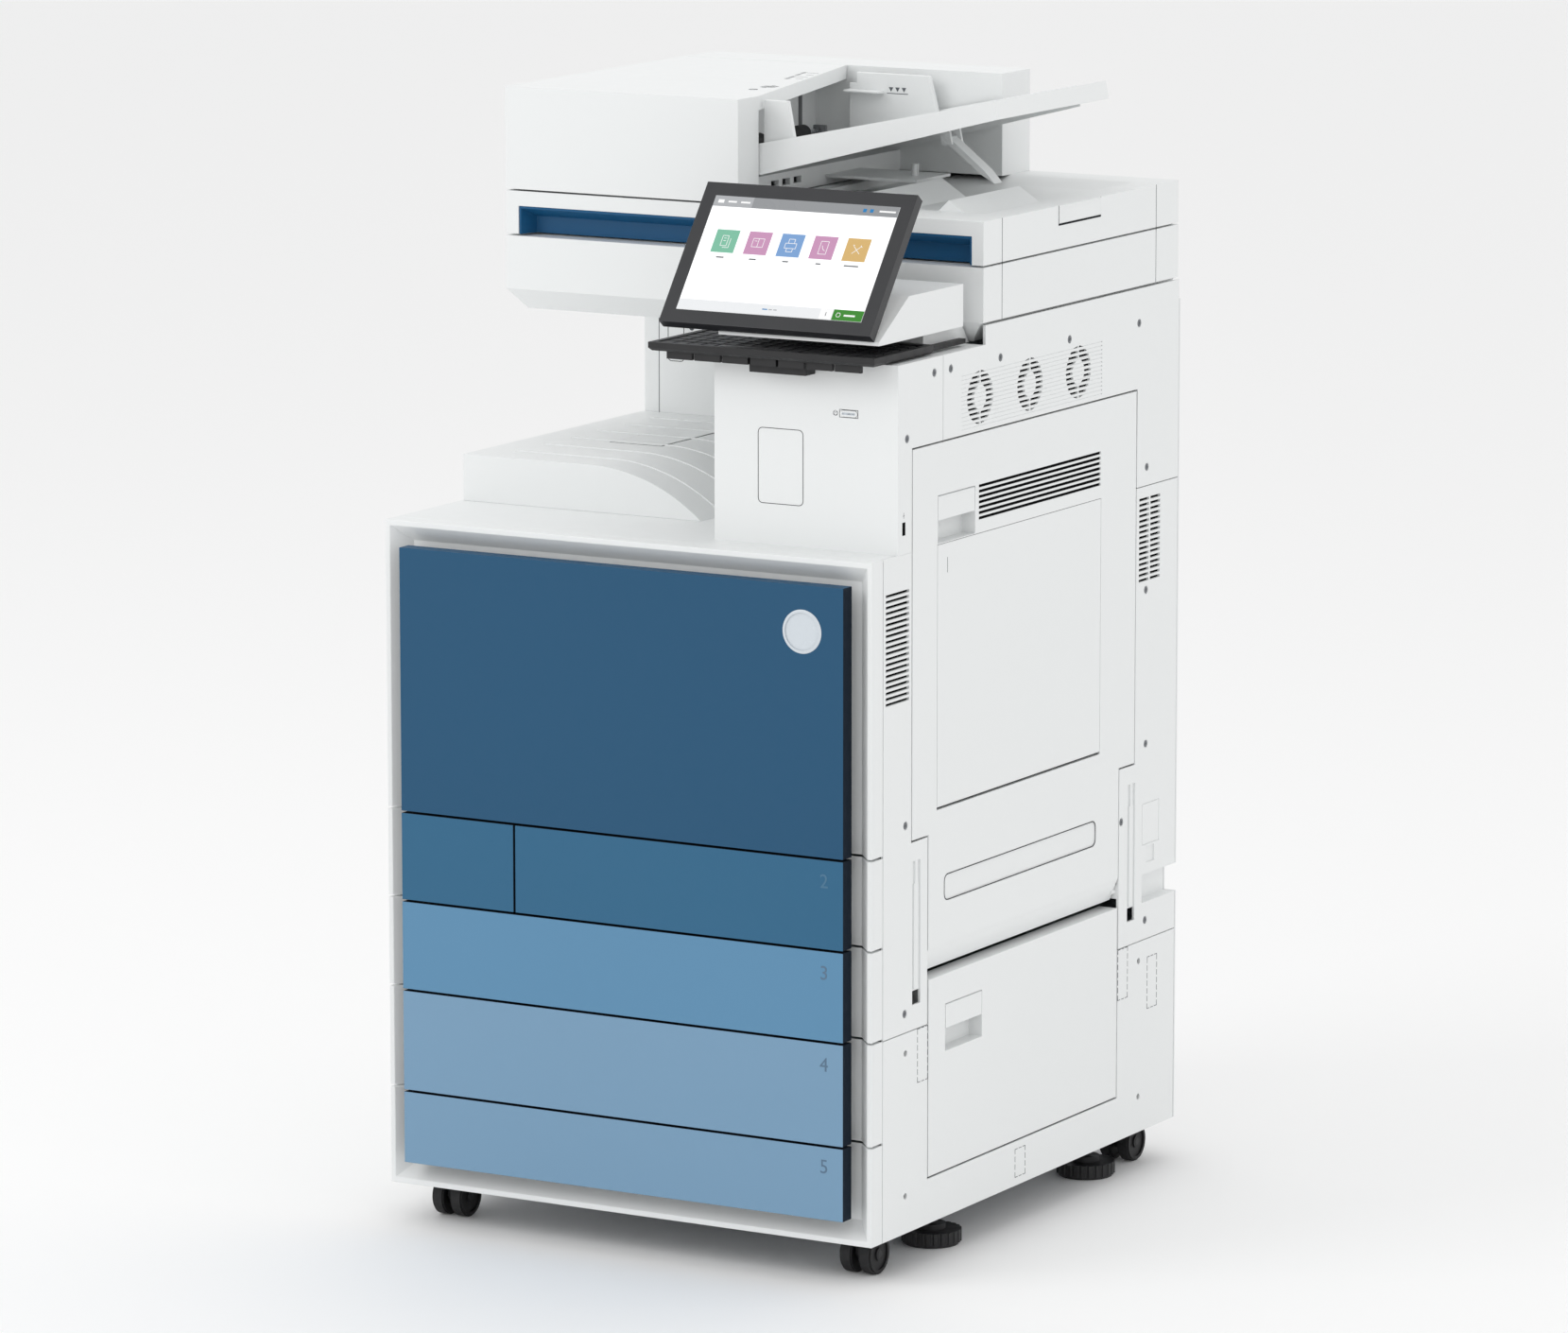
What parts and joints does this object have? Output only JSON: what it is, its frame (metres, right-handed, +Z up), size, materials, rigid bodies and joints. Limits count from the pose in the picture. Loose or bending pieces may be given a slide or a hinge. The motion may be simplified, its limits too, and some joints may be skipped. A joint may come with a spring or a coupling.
{
  "type": "floor-standing photocopier",
  "caption": "Floor-standing A3 office copier: paper drawers below, printing engine, delivery tray and column, flatbed scanner with document feeder, tilting touch display and sliding keyboard.",
  "frame": {"origin": "on the floor, under the middle of the overall box", "axes": "+X to the user's right, +Y to the back, +Z up"},
  "size_m": [0.585, 0.694, 1.1984],
  "materials": {
    "off_white_plastic": "fine textured, satin",
    "black_plastic": "fine textured",
    "bezel_black": "satin bezel",
    "screen": "glossy display",
    "blue_darkest": "satin",
    "blue_dark": "satin",
    "blue_mid": "satin",
    "blue_light": "satin",
    "zinc_steel": "zinc plated",
    "bright_steel": "bright",
    "platen_glass": "polished",
    "cartridge_plastic": "moulded",
    "belt_black": "glossy belt",
    "roller_rubber": "smooth",
    "wheel_tread": "smooth"
  },
  "bodies": {
    "machine": {"base_plate": "zinc_steel", "chassis_frame": "zinc_steel", "drawer_rails": "zinc_steel", "left_cover": "off_white_plastic", "rear_cover": "off_white_plastic", "cabinet_side_cover": "off_white_plastic", "right_front_cover": "off_white_plastic", "right_rear_cover": "off_white_plastic", "right_upper_cover": "off_white_plastic", "column_cover": "off_white_plastic", "top_deck": "off_white_plastic", "exit_tray": "off_white_plastic", "rear_tower": "off_white_plastic", "display_base": "off_white_plastic", "scanner_base": "off_white_plastic", "platen_glass": "platen_glass", "cover_screws": "bright_steel", "power_inlet": "black_plastic", "toner_cartridges": "cartridge_plastic", "transfer_belt": "belt_black", "fuser_housing": "zinc_steel", "rear_forks": "black_plastic"},
    "front_door": {"door_frame": "off_white_plastic", "door_panel": "blue_darkest"},
    "tray_2": {"tray_2_bin": "off_white_plastic", "tray_2_panel": "blue_dark"},
    "tray_3": {"tray_3_bin": "off_white_plastic", "tray_3_panel": "blue_mid"},
    "tray_4": {"tray_4_bin": "off_white_plastic", "tray_4_panel": "blue_light"},
    "tray_5": {"tray_5_bin": "off_white_plastic", "tray_5_panel": "blue_light"},
    "waste_box": {"waste_toner_box": "off_white_plastic", "waste_toner_panel": "blue_dark"},
    "right_door": {"right_door": "off_white_plastic"},
    "right_door_handle": {"right_door_handle": "off_white_plastic"},
    "bypass_tray": {"bypass_tray": "off_white_plastic"},
    "lower_door": {"lower_door": "off_white_plastic"},
    "lower_door_handle": {"lower_door_handle": "off_white_plastic"},
    "lid": {"lid": "off_white_plastic", "lid_handle": "blue_darkest", "feeder_body": "off_white_plastic"},
    "feeder_cover": {"feeder_cover": "off_white_plastic"},
    "input_tray": {"input_tray": "off_white_plastic"},
    "front_guide": {"front_guide": "off_white_plastic"},
    "rear_guide": {"rear_guide": "off_white_plastic"},
    "tray_prop": {"tray_prop": "off_white_plastic"},
    "display": {"display_case": "bezel_black", "display_screen": "screen"},
    "keyboard": {"keyboard": "black_plastic"},
    "power_button": {"power_button": "off_white_plastic"},
    "scan_carriage": {"scan_carriage": "black_plastic"},
    "fuser_roller": {"fuser_roller": "roller_rubber"},
    "front_left_fork": {"front_left_fork": "black_plastic"},
    "front_left_wheel": {"front_left_wheel": "wheel_tread"},
    "front_right_fork": {"front_right_fork": "black_plastic"},
    "front_right_wheel": {"front_right_wheel": "wheel_tread"},
    "rear_wheels": {"rear_wheels": "wheel_tread"},
    "front_glide": {"front_glide": "black_plastic"},
    "rear_glide": {"rear_glide": "black_plastic"}
  },
  "joints": [
    {"name": "front_door_hinge", "type": "hinge", "parent": "machine", "child": "front_door", "pos_m": [-0.2885, -0.329, 0.6], "axis": [0, 0, -1], "range_deg": [0, 110]},
    {"name": "tray_2_slide", "type": "slide", "parent": "machine", "child": "tray_2", "axis": [0, -1, 0], "range_m": [0, 0.45]},
    {"name": "tray_3_slide", "type": "slide", "parent": "machine", "child": "tray_3", "axis": [0, -1, 0], "range_m": [0, 0.45]},
    {"name": "tray_4_slide", "type": "slide", "parent": "machine", "child": "tray_4", "axis": [0, -1, 0], "range_m": [0, 0.45]},
    {"name": "tray_5_slide", "type": "slide", "parent": "machine", "child": "tray_5", "axis": [0, -1, 0], "range_m": [0, 0.45]},
    {"name": "waste_box_slide", "type": "slide", "parent": "machine", "child": "waste_box", "axis": [0, -1, 0], "range_m": [0, 0.35]},
    {"name": "right_door_hinge", "type": "hinge", "parent": "machine", "child": "right_door", "pos_m": [0.286, -0.002, 0.32], "axis": [0, 1, 0], "range_deg": [0, 50]},
    {"name": "right_door_handle_pivot", "type": "hinge", "parent": "right_door", "child": "right_door_handle", "pos_m": [0.2905, -0.156, 0.804], "axis": [0, -1, 0], "range_deg": [0, 25], "stiffness_Nm_per_rad": 0.3},
    {"name": "bypass_tray_hinge", "type": "hinge", "parent": "right_door", "child": "bypass_tray", "pos_m": [0.2905, -0.016, 0.483], "axis": [0, 1, 0], "range_deg": [0, 65]},
    {"name": "lower_door_hinge", "type": "hinge", "parent": "machine", "child": "lower_door", "pos_m": [0.2895, -0.003, 0.097], "axis": [0, 1, 0], "range_deg": [0, 80]},
    {"name": "lower_door_handle_pivot", "type": "hinge", "parent": "lower_door", "child": "lower_door_handle", "pos_m": [0.2905, -0.137, 0.268], "axis": [0, -1, 0], "range_deg": [0, 25], "stiffness_Nm_per_rad": 0.3},
    {"name": "lid_hinge", "type": "hinge", "parent": "machine", "child": "lid", "pos_m": [0.0025, 0.34, 1.032], "axis": [-1, 0, 0], "range_deg": [0, 60]},
    {"name": "feeder_cover_hinge", "type": "hinge", "parent": "lid", "child": "feeder_cover", "pos_m": [-0.2855, 0.087, 1.083], "axis": [0, -1, 0], "range_deg": [0, 60]},
    {"name": "input_tray_hinge", "type": "hinge", "parent": "lid", "child": "input_tray", "pos_m": [-0.0645, 0.109, 1.178], "axis": [0, -1, 0], "range_deg": [0, 33]},
    {"name": "front_guide_slide", "type": "slide", "parent": "input_tray", "child": "front_guide", "axis": [0, 1, 0], "range_m": [0, 0.06]},
    {"name": "rear_guide_slide", "type": "slide", "parent": "input_tray", "child": "rear_guide", "axis": [0, 1, 0], "range_m": [-0.06, 0]},
    {"name": "tray_prop_pivot", "type": "hinge", "parent": "input_tray", "child": "tray_prop", "pos_m": [0.1025, 0.178, 1.128], "axis": [0, -1, 0], "range_deg": [0, 45]},
    {"name": "display_tilt", "type": "hinge", "parent": "machine", "child": "display", "pos_m": [0.1535, -0.27346, 1.00391], "axis": [-1, 0, 0], "range_deg": [0, 25]},
    {"name": "keyboard_slide", "type": "slide", "parent": "machine", "child": "keyboard", "axis": [0, -1, 0], "range_m": [0, 0.11]},
    {"name": "power_button_press", "type": "slide", "parent": "machine", "child": "power_button", "axis": [0, 1, 0], "range_m": [0, 0.0015], "stiffness_N_per_m": 400},
    {"name": "scan_carriage_travel", "type": "slide", "parent": "machine", "child": "scan_carriage", "axis": [1, 0, 0], "range_m": [0, 0.47]},
    {"name": "fuser_roller_spin", "type": "hinge", "parent": "machine", "child": "fuser_roller", "pos_m": [0.2075, -0.043, 0.818], "axis": [0, 1, 0], "continuous": true},
    {"name": "front_left_swivel", "type": "hinge", "parent": "machine", "child": "front_left_fork", "pos_m": [-0.2495, -0.259, 0.048], "axis": [0, 0, 1], "continuous": true},
    {"name": "front_left_roll", "type": "hinge", "parent": "front_left_fork", "child": "front_left_wheel", "pos_m": [-0.2495, -0.271, 0.0215], "axis": [1, 0, 0], "continuous": true},
    {"name": "front_right_swivel", "type": "hinge", "parent": "machine", "child": "front_right_fork", "pos_m": [0.2495, -0.259, 0.048], "axis": [0, 0, 1], "continuous": true},
    {"name": "front_right_roll", "type": "hinge", "parent": "front_right_fork", "child": "front_right_wheel", "pos_m": [0.2495, -0.271, 0.0215], "axis": [1, 0, 0], "continuous": true},
    {"name": "rear_wheels_roll", "type": "hinge", "parent": "machine", "child": "rear_wheels", "pos_m": [0, 0.306, 0.0215], "axis": [1, 0, 0], "continuous": true},
    {"name": "front_glide_screw", "type": "slide", "parent": "machine", "child": "front_glide", "axis": [0, 0, 1], "range_m": [0, 0.012]},
    {"name": "rear_glide_screw", "type": "slide", "parent": "machine", "child": "rear_glide", "axis": [0, 0, 1], "range_m": [0, 0.012]}
  ],
  "couplings": [
    {"joint": "rear_guide_slide", "follows": "front_guide_slide", "ratio": -1}
  ]
}
